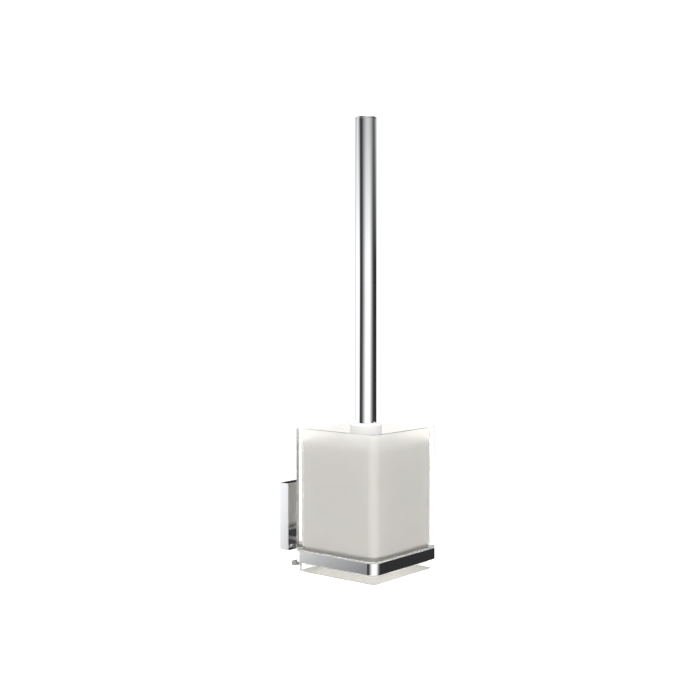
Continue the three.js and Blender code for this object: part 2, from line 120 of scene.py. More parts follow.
# %% Shader arithmetic
class Wire:
    """One output socket of a node tree."""

    def __init__(self, tree, socket=None):
        self.tree = tree
        self.socket = socket

    def node(self, kind, settings=None, inputs=None, output=0):
        made = self.tree.nodes.new(kind)
        for name, value in (settings or {}).items():
            if name == "stops":
                self.set_stops(made.color_ramp, value)
            else:
                setattr(made, name, value)
        for name, value in (inputs or {}).items():
            if isinstance(value, Wire):
                self.tree.links.new(value.socket, made.inputs[name])
            else:
                made.inputs[name].default_value = value
        return Wire(self.tree, made.outputs[output])

    @staticmethod
    def set_stops(ramp, stops):
        while len(ramp.elements) < len(stops):
            ramp.elements.new(1.0)
        for element, (place, grey) in zip(ramp.elements, stops):
            element.position = place
            element.color = (grey, grey, grey, 1)

    def math(self, operation, first, second):
        return self.node("ShaderNodeMath", {"operation": operation}, {0: first, 1: second})

    def __add__(self, other):
        return self.math("ADD", self, other)

    __radd__ = __add__

    def __mul__(self, other):
        return self.math("MULTIPLY", self, other)

    __rmul__ = __mul__

    def __sub__(self, other):
        return self.math("SUBTRACT", self, other)

    def __rsub__(self, other):
        return self.math("SUBTRACT", other, self)

    def feed(self, node, name):
        self.tree.links.new(self.socket, node.inputs[name])


# %% [markdown]
# Every finish starts the same way: a Principled shader whose constant values are set straight on its
# sockets, and a wire that holds the piece's own Object coordinates. A piece's object sits at the
# origin, so those coordinates are real metres on the object, and a pattern's scale is in cycles per
# metre.

# %% Helpers for finishes
def new_finish(name, **constants):
    material = bpy.data.materials.new(name)
    material.use_nodes = True
    shader = material.node_tree.nodes["Principled BSDF"]
    for socket, value in constants.items():
        shader.inputs[socket.replace("_", " ")].default_value = value
    tools = Wire(material.node_tree)
    place = tools.node("ShaderNodeTexCoord", output="Object")
    return material, shader, tools, place


def noise(tools, place, scale, detail=3.0, roughness=0.5):
    inputs = {"Vector": place, "Scale": scale, "Detail": detail, "Roughness": roughness}
    return tools.node("ShaderNodeTexNoise", None, inputs)


def stretched(tools, place, factors):
    return tools.node("ShaderNodeMapping", None, {"Vector": place, "Scale": factors})


def add_bump(tools, shader, height, distance, strength=1.0):
    inputs = {"Height": height, "Distance": distance, "Strength": strength}
    tools.node("ShaderNodeBump", None, inputs).feed(shader, "Normal")


def shaded(tools, shader, amount, low, high):
    inputs = {0: amount, 6: (*low, 1), 7: (*high, 1)}
    tools.node("ShaderNodeMix", {"data_type": "RGBA"}, inputs, output=2).feed(shader, "Base Color")


# %% [markdown]
# Chrome plating is a near-perfect mirror with a faint blue cast. What makes it look real is what isn't
# perfect: thin wiped smudges that raise the roughness here and there, and a very shallow wave left by
# polishing, which bends long reflections a little.

# %% Chrome
def chrome_finish():
    material, shader, tools, place = new_finish("chrome", Metallic=1.0)
    smudge = noise(tools, stretched(tools, place, (1, 1, 0.35)), 45, detail=5)
    grain = noise(tools, place, 900, detail=2)
    rough = smudge * 0.07 + grain * 0.012 + 0.005
    rough.feed(shader, "Roughness")
    shaded(tools, shader, smudge, (0.86, 0.875, 0.895), (0.92, 0.925, 0.935))
    wave = noise(tools, place, 60, detail=1)
    add_bump(tools, shader, wave + grain * 0.02, 0.00001)
    return material


chrome = chrome_finish()
print("made", chrome.name)

# %% [markdown]
# The plate behind the cover, the screws and the bar under the ring are plain stainless steel. Rolled
# and turned steel has fine lines, so one noise is squeezed along an axis until it becomes lines, and it
# drives colour, roughness and bump together.

# %% Stainless steel
def steel_finish():
    material, shader, tools, place = new_finish("stainless_steel", Metallic=1.0)
    lines = noise(tools, stretched(tools, place, (1, 1, 0.04)), 2600, detail=3)
    stain = noise(tools, place, 90, detail=3)
    rough = lines * 0.16 + stain * 0.12 + 0.2
    rough.feed(shader, "Roughness")
    shaded(tools, shader, lines * 0.5 + stain * 0.5, (0.46, 0.46, 0.455), (0.68, 0.68, 0.675))
    add_bump(tools, shader, lines, 0.00002, strength=0.6)
    return material


steel = steel_finish()
print("made", steel.name)

# %% [markdown]
# The tumbler's glass is clear outside and satin inside. Both are one block of glass, so both bend light
# alike. Their index is well below that of real glass, which would trap light between the walls of such
# a block and turn its clear edges grey. The satin side is etched: part of the light passes it,
# scattered, and the rest turns back from it, and it has a fine grain.

# %% Glass
GLASS_IOR = 1.18
SATIN_PASSES = 0.6


def clear_glass_finish():
    material, shader, tools, place = new_finish(
        "clear_glass", Transmission_Weight=1.0, IOR=GLASS_IOR, Base_Color=(0.995, 1, 0.997, 1),
    )
    smudge = noise(tools, place, 35, detail=4)
    (smudge * 0.03).feed(shader, "Roughness")
    add_bump(tools, shader, noise(tools, place, 25, detail=1), 0.00003)
    return material


def satin_glass_finish():
    material, shader, tools, place = new_finish(
        "satin_glass", Transmission_Weight=SATIN_PASSES, IOR=GLASS_IOR,
    )
    etch = noise(tools, place, 1400, detail=4)
    cloud = noise(tools, place, 40, detail=3)
    (cloud * 0.1 + etch * 0.1 + 0.7).feed(shader, "Roughness")
    shaded(tools, shader, cloud * 0.5 + etch * 0.5, (0.85, 0.83, 0.785), (0.97, 0.95, 0.91))
    add_bump(tools, shader, etch, 0.00004)
    return material


clear_glass = clear_glass_finish()
satin_glass = satin_glass_finish()
print("made", clear_glass.name, "and", satin_glass.name)

# %% [markdown]
# Four plastics and a rubber: the glossy white collar and brush moulding, the grey inner cup, the milky
# sleeve in the ring, nylon for the tufts, and the soft pad. Moulded plastic isn't flat: it has a soft
# ripple from cooling and a fine grain, and it scatters a little light under its surface.

# %% Plastics and rubber
def white_plastic_finish():
    material, shader, tools, place = new_finish(
        "white_plastic", Subsurface_Weight=0.15, Subsurface_Scale=0.002, Coat_Weight=0.15,
    )
    ripple = noise(tools, place, 120, detail=2)
    grain = noise(tools, place, 1500, detail=3)
    (ripple * 0.1 + grain * 0.06 + 0.27).feed(shader, "Roughness")
    shaded(tools, shader, ripple, (0.84, 0.84, 0.83), (0.9, 0.9, 0.89))
    add_bump(tools, shader, ripple + grain * 0.25, 0.00004)
    return material


def liner_plastic_finish():
    material, shader, tools, place = new_finish(
        "liner_plastic", Subsurface_Weight=0.1, Subsurface_Scale=0.002,
    )
    cloud = noise(tools, place, 30, detail=4)
    grain = noise(tools, place, 1100, detail=3)
    (grain * 0.2 + 0.45).feed(shader, "Roughness")
    shaded(tools, shader, cloud, (0.33, 0.32, 0.3), (0.37, 0.36, 0.34))
    add_bump(tools, shader, grain, 0.00006)
    return material


def sleeve_plastic_finish():
    material, shader, tools, place = new_finish(
        "sleeve_plastic", Transmission_Weight=0.3, IOR=1.49, Base_Color=(0.93, 0.93, 0.925, 1),
    )
    grain = noise(tools, place, 700, detail=3)
    (grain * 0.15 + 0.2).feed(shader, "Roughness")
    add_bump(tools, shader, grain, 0.00003)
    return material


def rubber_finish():
    material, shader, tools, place = new_finish("soft_rubber")
    grain = noise(tools, place, 900, detail=4)
    (grain * 0.15 + 0.7).feed(shader, "Roughness")
    shaded(tools, shader, grain, (0.2, 0.2, 0.2), (0.27, 0.27, 0.27))
    add_bump(tools, shader, grain, 0.0001)
    return material


def nylon_finish():
    material, shader, tools, place = new_finish(
        "nylon_filament", Subsurface_Weight=0.3, Subsurface_Scale=0.001,
    )
    tint = noise(tools, place, 260, detail=2)
    (tint * 0.2 + 0.3).feed(shader, "Roughness")
    shaded(tools, shader, tint, (0.84, 0.84, 0.83), (0.95, 0.95, 0.94))
    return material


white_plastic = white_plastic_finish()
liner_plastic = liner_plastic_finish()
sleeve_plastic = sleeve_plastic_finish()
rubber = rubber_finish()
nylon = nylon_finish()
print("made", len(bpy.data.materials), "materials in all")

# %% [markdown]
# A finished bmesh becomes a piece in one place. Its faces are shaded smooth, apart from edges sharper
# than a set angle. A Weighted Normal modifier gives the large faces the say over the narrow bevels
# beside them, so that a flat face mirrors its surroundings like a flat face. Then its materials are
# added to its mesh, the piece is parented to the empty of the body it rides on, and the nodes of the
# working model that it stands for are hidden.

# %% From bmesh to piece
SHARP_ANGLE = math.radians(32)


def shade_by_angle(bm):
    for face in bm.faces:
        face.smooth = True
    for edge in bm.edges:
        edge.smooth = len(edge.link_faces) == 2 and edge.calc_face_angle(0) < SHARP_ANGLE


def make_piece(name, bm, materials, body, nodes):
    shade_by_angle(bm)
    mesh = bpy.data.meshes.new(name)
    bm.to_mesh(mesh)
    bm.free()
    for material in materials:
        mesh.materials.append(material)
    made = bpy.data.objects.new(name, mesh)
    bpy.context.scene.collection.objects.link(made)
    even = made.modifiers.new("even_normals", "WEIGHTED_NORMAL")
    even.keep_sharp = True
    even.weight = 100
    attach(made, body)
    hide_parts(*nodes)
    print("made", name, "with", len(mesh.polygons), "faces")
    return made


# %% [markdown]
# The tumbler, the cup, the ring and the sleeve are all square with rounded corners. Such a prism starts
# as a cube, whose four upright edges are bevelled with many segments. Because the inset operator keeps
# an even distance from the outline, each inner wall's corners come out concentric with the outer ones.

# %% Square pieces with rounded corners
CORNER_SEGMENTS = 14


def rounded_prism(side, corner, bottom, top):
    bm = bmesh.new()
    bmesh.ops.create_cube(bm, size=1)
    bmesh.ops.scale(bm, vec=(side, side, top - bottom), verts=bm.verts)
    bmesh.ops.translate(bm, vec=axis + Vector((0, 0, (top + bottom) / 2)), verts=bm.verts)
    upright = [e for e in bm.edges if abs(e.verts[0].co.z - e.verts[1].co.z) > MM / 100]
    bmesh.ops.bevel(
        bm, geom=upright, offset=corner, offset_type="OFFSET", segments=CORNER_SEGMENTS,
        profile=0.5, affect="EDGES", material=-1,
    )
    return bm


def end_face(bm, up):
    """The horizontal face at the very top or bottom."""
    flat = [f for f in bm.faces if abs(f.normal.z) > 0.99]
    return max(flat, key=lambda f: f.calc_center_median().z * (1 if up else -1))


def inset(bm, face, distance):
    bmesh.ops.inset_individual(bm, faces=[face], thickness=distance, use_even_offset=True)
    return face


def pushed(bm, face, height):
    """Extrudes a horizontal face to a height and returns the moved face."""
    made = bmesh.ops.extrude_discrete_faces(bm, faces=[face])["faces"][0]
    bmesh.ops.translate(
        bm, vec=(0, 0, height - made.calc_center_median().z), verts=made.verts,
    )
    return made


def open_through(bm, top_wall, bottom_wall):
    """Cuts a straight hole from the top face to the bottom face."""
    faces = [inset(bm, end_face(bm, True), top_wall), inset(bm, end_face(bm, False), bottom_wall)]
    loops = [edge for face in faces for edge in face.edges]
    bmesh.ops.delete(bm, geom=faces, context="FACES_ONLY")
    bmesh.ops.bridge_loops(bm, edges=loops)


def sharp_edges(bm, heights, tolerance=MM / 50):
    """Sharp level edges at any of the heights."""
    def level(edge, height):
        return all(abs(v.co.z - height) < tolerance for v in edge.verts)

    return [
        e for e in bm.edges
        if len(e.link_faces) == 2 and abs(e.calc_face_angle(0)) > 1.0
        and any(level(e, height) for height in heights)
    ]


def round_off(bm, edges, radius, segments=4):
    bmesh.ops.bevel(
        bm, geom=edges, offset=radius, offset_type="OFFSET", segments=segments,
        profile=0.5, affect="EDGES", material=-1,
    )


# %% [markdown]
# The tumbler is one block of pressed glass. It has a narrower foot that drops through the ring, and its
# shoulder rests on the sleeve. The cavity is stepped too, so that the walls stay about five millimetres
# thick. The faces of the cavity get the satin material. The rim is fire-polished, so its edges are round.

# %% Glass tumbler
TUMBLER_CORNER = 8.6 * MM
TUMBLER_WALL = 4.8 * MM
FOOT_WALL = 4.2 * MM
TUMBLER_FLOOR = 6 * MM
LEDGE_HEIGHT = 23 * MM
RIM_ROUND = 0.7 * MM
LIP = 1.6 * MM
FOOT_ROUND = 1.2 * MM
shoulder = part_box("ring_sleeve")[1].z + 0.15 * MM
tumbler_side = width_of("glass_tumbler")
foot_side = width_of("ring_sleeve", 0) - 5.6 * MM


def tumbler_shape():
    bottom, top = tumbler_low.z, tumbler_high.z
    bm = rounded_prism(tumbler_side, TUMBLER_CORNER, shoulder, top)
    inset(bm, end_face(bm, False), (tumbler_side - foot_side) / 2)
    pushed(bm, end_face(bm, False), bottom)
    outer = set(bm.faces)
    mouth = inset(bm, end_face(bm, True), LIP)
    widen = (tumbler_side - 2 * TUMBLER_WALL) / (tumbler_side - 2 * LIP)
    mouth = inset(bm, mouth, MM / 100)
    bmesh.ops.scale(
        bm, vec=(widen, widen, 1), space=Matrix.Translation(-axis), verts=mouth.verts,
    )
    cavity = pushed(bm, mouth, bottom + LEDGE_HEIGHT)
    narrowing = FOOT_WALL + (tumbler_side - foot_side) / 2 - TUMBLER_WALL
    pushed(bm, inset(bm, cavity, narrowing), bottom + TUMBLER_FLOOR)
    bm.normal_update()
    for face in bm.faces:
        at_rim = face.calc_center_median().z > top - MM / 10 and face.normal.z > 0.5
        underside = face.normal.z < -0.5
        face.material_index = 0 if (face in outer and not underside) or at_rim else 1
    round_off(bm, sharp_edges(bm, [top]), RIM_ROUND)
    round_off(bm, sharp_edges(bm, [bottom]), FOOT_ROUND)
    return bm


make_piece(
    "tumbler_glass", tumbler_shape(), [clear_glass, satin_glass], "tumbler",
    ["glass_tumbler"],
)

# %% [markdown]
# The inner cup catches the drips and lifts out for cleaning. It is a thin moulding, so it is the same
# stepped shape with a wall of less than two millimetres. Its rim shows through the glass as a soft line.

# %% Inner cup
CUP_CORNER = 5.8 * MM
CUP_WALL = 1.6 * MM
CUP_FLOOR = 2 * MM
CUP_STEP = 23.3 * MM
CUP_NARROWING = 2.7 * MM


def cup_shape():
    low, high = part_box("liner_cup")
    step = tumbler_low.z + CUP_STEP
    bm = rounded_prism(width_of("liner_cup"), CUP_CORNER, step, high.z)
    inset(bm, end_face(bm, False), CUP_NARROWING)
    pushed(bm, end_face(bm, False), low.z)
    room = pushed(bm, inset(bm, end_face(bm, True), CUP_WALL), step + CUP_WALL)
    pushed(bm, inset(bm, room, CUP_NARROWING), low.z + CUP_FLOOR)
    bm.normal_update()
    round_off(bm, sharp_edges(bm, [high.z]), 0.5 * MM, segments=3)
    round_off(bm, sharp_edges(bm, [low.z]), 0.8 * MM, segments=3)
    return bm


make_piece(
    "inner_cup", cup_shape(), [liner_plastic], "liner", ["liner_cup"],
)

# %% [markdown]
# The ring is a flat chrome band, bent into a square, with its edges just broken. A hole straight through
# a rounded prism makes it. Two screws go through its back into the arm, so two countersunk seats are cut
# with a Boolean, whose result replaces the mesh at once.

# %% Ring
RING_EDGE = 0.3 * MM
SLEEVE_FLANGE_REACH = 1.7 * MM
RING_CLEARANCE = 0.15 * MM
SCREW_HOLE = 1.55 * MM
SCREW_SEAT_STEPS = 40


def ring_shape():
    low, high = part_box("ring")
    opening = width_of("ring_sleeve") - 2 * SLEEVE_FLANGE_REACH + 2 * RING_CLEARANCE
    wall = (width_of("ring") - opening) / 2
    bm = rounded_prism(width_of("ring"), TUMBLER_CORNER, low.z, high.z)
    open_through(bm, wall, wall)
    bmesh.ops.recalc_face_normals(bm, faces=bm.faces)
    round_off(bm, sharp_edges(bm, [low.z, high.z]), RING_EDGE, segments=3)
    return bm


def seat_cutter(nodes):
    """Tools for countersunk seats, a head's width at the heads' faces and narrow behind them."""
    bm = bmesh.new()
    turn = Matrix.Rotation(math.pi / 2, 4, "X")
    for node in nodes:
        low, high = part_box(node)
        head = width_of(node) / 2 + RING_CLEARANCE
        cone = head - SCREW_HOLE
        for start, end, first, last in (
            (-MM, 0, head, head),
            (0, cone, head, SCREW_HOLE),
            (cone, 3 * MM, SCREW_HOLE, SCREW_HOLE),
        ):
            centre = Vector((middle(node).x, low.y + (start + end) / 2, middle(node).z))
            bmesh.ops.create_cone(
                bm, cap_ends=True, segments=SCREW_SEAT_STEPS, radius1=last, radius2=first,
                depth=end - start, matrix=Matrix.Translation(centre) @ turn,
            )
    return bm


def cut_away(made, cutter):
    """Subtracts a bmesh from a piece and keeps the result as the piece's mesh."""
    tool_mesh = bpy.data.meshes.new("tool")
    cutter.to_mesh(tool_mesh)
    cutter.free()
    tool = bpy.data.objects.new("tool", tool_mesh)
    bpy.context.scene.collection.objects.link(tool)
    cut = made.modifiers.new("cut", "BOOLEAN")
    cut.operation = "DIFFERENCE"
    cut.solver = "EXACT"
    cut.use_self = True
    cut.object = tool
    made.modifiers["even_normals"].show_viewport = False
    graph = bpy.context.evaluated_depsgraph_get()
    made.data = bpy.data.meshes.new_from_object(made.evaluated_get(graph))
    made.modifiers.remove(cut)
    made.modifiers["even_normals"].show_viewport = True
    bpy.data.objects.remove(tool)
    print(made.name, "has", len(made.data.polygons), "faces after the cut")


ring = make_piece("ring_band", ring_shape(), [chrome], "holder", ["ring"])
cut_away(ring, seat_cutter(["ring_screw_left", "ring_screw_right"]))

# %% [markdown]
# A thin milky sleeve keeps the glass off the metal. Its flange lies on the ring, and the tumbler's
# shoulder stands on it, which is the fine line seen between glass and chrome.

# %% Ring sleeve
FLANGE_THICKNESS = 0.5 * MM
SLEEVE_CORNER = 8.1 * MM
SLEEVE_WALL = 0.8 * MM


def sleeve_shape():
    low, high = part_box("ring_sleeve")
    bm = rounded_prism(width_of("ring_sleeve"), SLEEVE_CORNER, high.z - FLANGE_THICKNESS, high.z)
    inset(bm, end_face(bm, False), SLEEVE_FLANGE_REACH)
    pushed(bm, end_face(bm, False), low.z)
    open_through(bm, SLEEVE_FLANGE_REACH + SLEEVE_WALL, SLEEVE_WALL)
    bmesh.ops.recalc_face_normals(bm, faces=bm.faces)
    return bm


make_piece(
    "ring_lining", sleeve_shape(), [sleeve_plastic], "holder", ["ring_sleeve"],
)

# %% [markdown]
# Flat-sided metal parts, such as the cover, the arm and the bar, are already right in the working model,
# apart from their edges: no real edge is perfectly sharp, and a tiny bevel catches the light. So a copy
# of the node's mesh is merged into one surface, its coplanar triangles are dissolved, and its sharp
# edges get a fine bevel.

# %% Bevelled copies of the working model
BEVEL_ANGLE = math.radians(40)


def bevelled_copy(node, radius, segments=3):
    bm = bmesh.new()
    bm.from_mesh(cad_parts[node].data)
    bmesh.ops.remove_doubles(bm, verts=bm.verts, dist=MM / 200)
    bmesh.ops.dissolve_limit(
        bm, angle_limit=math.radians(1), verts=bm.verts, edges=bm.edges,
    )
    sharp = [e for e in bm.edges if len(e.link_faces) == 2 and e.calc_face_angle(0) > BEVEL_ANGLE]
    round_off(bm, sharp, radius, segments)
    for face in bm.faces:
        face.material_index = 0
    return bm


for name, node, radius in (("cover_shell", "wall_cover", 0.35), ("ring_arm", "arm", 0.4)):
    make_piece(name, bevelled_copy(node, radius * MM), [chrome], "holder", [node])
make_piece(
    "ring_support_bar", bevelled_copy("support_bar", 0.4 * MM), [steel], "holder", ["support_bar"],
)

# %% Wall plate, screws and washers
for name, node, radius, body in (
    ("wall_channel", "wall_plate", 0.3, "wall_fixing"),
    ("wall_screw_top", "wall_screw_upper", 0.12, "wall_fixing"),
    ("wall_screw_bottom", "wall_screw_lower", 0.12, "wall_fixing"),
    ("arm_screw_1", "arm_screw_left", 0.08, "holder"),
    ("arm_screw_2", "arm_screw_right", 0.08, "holder"),
    ("ring_screw_1", "ring_screw_left", 0.08, "holder"),
    ("ring_screw_2", "ring_screw_right", 0.08, "holder"),
    ("clamp_screw", "grub_screw", 0.12, "grub"),
):
    make_piece(name, bevelled_copy(node, radius * MM, 2), [steel], body, [node])
for name, node in (("washer_top", "wall_washer_upper"), ("washer_bottom", "wall_washer_lower")):
    bm = bevelled_copy(node, 0.12 * MM, 2)
    make_piece(name, bm, [white_plastic], "wall_fixing", [node])

# %% [markdown]
# Round parts are turned: half of the outline is drawn as a chain of edges from the axis outwards and
# back, and spun a full turn. The last turn is merged with the first, and so are the points on the axis.

# %% Turned pieces
TURN_STEPS = 96


def arc(centre, radius, start, end, steps=6):
    """Points [distance from the axis, height] on an arc, with angles in degrees."""
    angles = [math.radians(start + (end - start) * i / steps) for i in range(steps + 1)]
    return [(centre[0] + radius * math.cos(a), centre[1] + radius * math.sin(a)) for a in angles]


def turned(outline, closed=False, steps=TURN_STEPS):
    bm = bmesh.new()
    points = [bm.verts.new(axis + Vector((r, 0, z))) for r, z in outline]
    pairs = list(zip(points, points[1:]))
    if closed:
        pairs.append((points[-1], points[0]))
    chain = [bm.edges.new(pair) for pair in pairs]
    bmesh.ops.spin(
        bm, geom=points + chain, cent=axis, axis=(0, 0, 1), angle=2 * math.pi,
        steps=steps, use_merge=True,
    )
    bmesh.ops.remove_doubles(bm, verts=bm.verts, dist=MM / 500)
    bmesh.ops.recalc_face_normals(bm, faces=bm.faces)
    return bm


# %% [markdown]
# The handle is a chrome tube with a flat cap pressed into its top and a threaded bush in its foot. The
# tube's ends are slightly rolled in, and the cap has a fine bevel, so that a thin line shows the joint.

# %% Handle tube, cap and collar
TUBE_WALL = 1 * MM
TUBE_EDGE = 0.25 * MM
CAP_EDGE = 0.2 * MM
COLLAR_EDGE = 1.1 * MM


def tube_shape():
    low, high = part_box("handle_tube")
    outer = (high.x - low.x) / 2
    inner = outer - TUBE_WALL
    outline = [
        *arc((outer - TUBE_EDGE, low.z + TUBE_EDGE), TUBE_EDGE, -90, 0, 3),
        *arc((outer - TUBE_EDGE, high.z - TUBE_EDGE), TUBE_EDGE, 0, 90, 3),
        (inner, high.z),
        (inner, low.z),
    ]
    return turned(outline, closed=True)


def cap_shape():
    low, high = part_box("handle_cap")
    outer = (high.x - low.x) / 2
    plug = outer - TUBE_WALL - 0.15 * MM
    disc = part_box("handle_tube")[1].z + 0.15 * MM
    return turned([
        (0, low.z),
        (plug, low.z),
        (plug, disc),
        *arc((outer - TUBE_EDGE, disc + TUBE_EDGE), TUBE_EDGE, -90, 0, 3),
        *arc((outer - CAP_EDGE, high.z - CAP_EDGE), CAP_EDGE, 0, 90, 5),
        (0, high.z),
    ])


def collar_shape():
    low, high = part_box("collar")
    outer = (high.x - low.x) / 2
    socket = width_of("handle_tube") / 2 + 0.15 * MM
    socket_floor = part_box("handle_tube")[0].z - 0.15 * MM
    bore = width_of("handle_stud", 1) / 2 + 0.15 * MM
    return turned([
        (bore, low.z),
        *arc((outer - COLLAR_EDGE, low.z + COLLAR_EDGE), COLLAR_EDGE, -90, 0, 5),
        *arc((outer - COLLAR_EDGE, high.z - COLLAR_EDGE), COLLAR_EDGE, 0, 90, 5),
        *arc((socket + 0.4 * MM, high.z - 0.4 * MM), 0.4 * MM, 90, 180, 3),
        (socket, socket_floor),
        (bore, socket_floor),
    ], closed=True)


make_piece("chrome_handle", tube_shape(), [chrome], "brush", ["handle_tube"])
make_piece("chrome_cap", cap_shape(), [chrome], "brush", ["handle_cap"])
make_piece("white_collar", collar_shape(), [white_plastic], "brush", ["collar"])

# %% [markdown]
# Inside the handle, the bush and the stud stay as they are in the working model: no one sees more than
# their shape. They only need their finishes.

# %% Finishes of the hidden handle parts
for node, material in (("handle_insert", white_plastic), ("handle_stud", steel)):
    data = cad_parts[node].data
    data.materials.clear()
    data.materials.append(material)
    print(node, "keeps its shape, in", material.name)

# %% [markdown]
# The brush head is a white moulding: a neck that swells into a hub. The tufts are set in it in staggered
# rows.

# %% Brush moulding
HUB_EDGE = 1.5 * MM
hub_low, hub_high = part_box("brush_hub")
hub_radius = (hub_high.x - hub_low.x) / 2
hub_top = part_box("side_bristles")[1].z + 0.3 * MM


def hub_shape():
    bore = width_of("handle_stud", 1) / 2 + 0.15 * MM
    neck = 7.5 * MM
    waist = 6 * MM
    bore_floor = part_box("handle_stud")[0].z - 0.3 * MM
    edge = 0.6 * MM
    return turned([
        (0, hub_low.z),
        *arc((hub_radius - HUB_EDGE, hub_low.z + HUB_EDGE), HUB_EDGE, -90, 0, 4),
        *arc((hub_radius - HUB_EDGE, hub_top - HUB_EDGE / 2), HUB_EDGE, 0, 60, 4),
        (waist, hub_top + hub_radius - waist),
        (neck, bore_floor + 0.3 * MM),
        *arc((neck - edge, hub_high.z - edge), edge, 0, 90, 3),
        (bore, hub_high.z),
        (bore, bore_floor),
        (0, bore_floor),
    ])


make_piece("brush_moulding", hub_shape(), [white_plastic], "brush_head", ["brush_hub"])

# %% [markdown]
# A tuft is a bundle of nylon filaments, folded over and stapled into one hole, so it is tight at its
# root and fans out towards its tip. One tuft is modelled as a bundle of thin tapered sticks, and copies
# of it are turned and stretched so that each tip ends on the brush's outer shape. A stick has few faces,
# because there are thousands of them.

# %% One tuft
FILAMENT_RADIUS = 0.22 * MM
FILAMENTS = 15
TUFT_ROOT = 1.3 * MM
TUFT_SPREAD = 0.17
dice = random.Random(7)


def tuft_mesh():
    """A bundle of filaments along +Z, one unit long and a real width across."""
    bm = bmesh.new()
    for _ in range(FILAMENTS):
        distance = TUFT_ROOT * math.sqrt(dice.random())
        turn = dice.uniform(0, 2 * math.pi)
        root = Vector((distance * math.cos(turn), distance * math.sin(turn), 0))
        made = bmesh.ops.create_cone(
            bm, cap_ends=True, segments=5, radius1=FILAMENT_RADIUS,
            radius2=FILAMENT_RADIUS * 0.75, depth=1,
        )["verts"]
        length = dice.uniform(0.95, 1.0)
        for vert in made:
            share = (vert.co.z + 0.5) * length
            lean = root * (share * TUFT_SPREAD * 22)
            vert.co = Vector((vert.co.x, vert.co.y, 0)) + root + lean + Vector((0, 0, share))
    mesh = bpy.data.meshes.new("tuft")
    bm.to_mesh(mesh)
    bm.free()
    return mesh


def plant(bm, tuft, root, direction, length):
    """Adds a copy of the tuft from its root along a direction, at its length."""
    first = len(bm.verts)
    bm.from_mesh(tuft)
    bm.verts.ensure_lookup_table()
    turn = direction.to_track_quat("Z", "Y").to_matrix().to_4x4()
    spin = Matrix.Rotation(dice.uniform(0, 2 * math.pi), 4, "Z")
    stretch = Matrix.Diagonal((1, 1, length, 1))
    place = Matrix.Translation(root) @ turn @ spin @ stretch
    bmesh.ops.transform(bm, matrix=place, verts=bm.verts[first:])


# %% [markdown]
# The side tufts point straight out in staggered rows. The end tufts fan out from the hub's foot, and
# each is as long as it is to the rounded outline under the brush.

# %% Tufts
TUFT_ROWS = 11
TUFTS_PER_ROW = 17
ROOT_DEPTH = 0.5 * MM
TIP_CLEARANCE = 0.4 * MM
BRUSH_ROUNDING = 14 * MM
brush_radius = width_of("side_bristles") / 2 - TIP_CLEARANCE
tuft = tuft_mesh()


def side_tufts():
    low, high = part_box("side_bristles")
    bm = bmesh.new()
    for row in range(TUFT_ROWS):
        height = low.z + (high.z - low.z - 4 * MM) * (row + 0.6) / TUFT_ROWS
        for place in range(TUFTS_PER_ROW):
            turn = 2 * math.pi * (place + 0.5 * (row % 2)) / TUFTS_PER_ROW
            out = Vector((math.cos(turn), math.sin(turn), dice.uniform(-0.03, 0.03)))
            root = axis + Vector((0, 0, height)) + out * (hub_radius - ROOT_DEPTH)
            length = brush_radius - hub_radius + ROOT_DEPTH
            if row == TUFT_ROWS - 1:
                length -= 2.5 * MM
            plant(bm, tuft, root, out, length)
    return bm


def end_tufts():
    low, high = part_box("end_bristles")
    floor = low.z + TIP_CLEARANCE
    centre = Vector((0, 0, floor + BRUSH_ROUNDING))
    bm = bmesh.new()
    for tilt, count in ((4, 1), (18, 6), (33, 10), (47, 13), (60, 16), (72, 18)):
        lean = math.radians(tilt)
        for place in range(count):
            turn = 2 * math.pi * (place + 0.5 * (tilt % 2)) / count
            out = Vector((
                math.sin(lean) * math.cos(turn), math.sin(lean) * math.sin(turn), -math.cos(lean),
            ))
            root = Vector((0, 0, hub_low.z + 3 * MM)) + out * 3 * MM
            plant(bm, tuft, axis + root, out, reach_to_outline(root, out, centre, floor))
    return bm


def reach_to_outline(root, out, centre, floor):
    """How far it is from a root to the flat floor, the rounded edge or the side of the brush."""
    step = 0.25 * MM
    reach = step
    while True:
        point = root + out * reach
        away = math.hypot(point.x, point.y)
        inward = max(0, away - (brush_radius - BRUSH_ROUNDING))
        down = max(0, centre.z - point.z)
        if point.z <= floor or away >= brush_radius or math.hypot(inward, down) >= BRUSH_ROUNDING:
            return reach - step
        reach += step


make_piece(
    "tufts_side", side_tufts(), [nylon], "brush_head", ["side_bristles"],
)
make_piece("tufts_end", end_tufts(), [nylon], "brush_head", ["end_bristles"])

# %% [markdown]
# A soft pad under the cup keeps it from rattling on the glass. It is a rubber sheet with a grid of
# shallow cells pressed into it, made by insetting each cell of a grid.

# %% Cup pad
PAD_CELLS = 8


def pad_shape():
    low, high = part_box("liner_pad")
    bm = bmesh.new()
    bmesh.ops.create_cube(bm, size=1)
    bmesh.ops.scale(bm, vec=high - low, verts=bm.verts)
    bmesh.ops.translate(bm, vec=(high + low) / 2, verts=bm.verts)
    level = [e for e in bm.edges if abs(e.verts[0].co.z - e.verts[1].co.z) < MM / 100]
    bmesh.ops.subdivide_edges(bm, edges=level, cuts=PAD_CELLS - 1, use_grid_fill=True)
    bm.normal_update()
    cells = [f for f in bm.faces if f.normal.z > 0.9]
    bmesh.ops.inset_individual(bm, faces=cells, thickness=1.2 * MM, depth=-0.3 * MM)
    return bm


make_piece("cup_pad", pad_shape(), [rubber], "tumbler", ["liner_pad"])

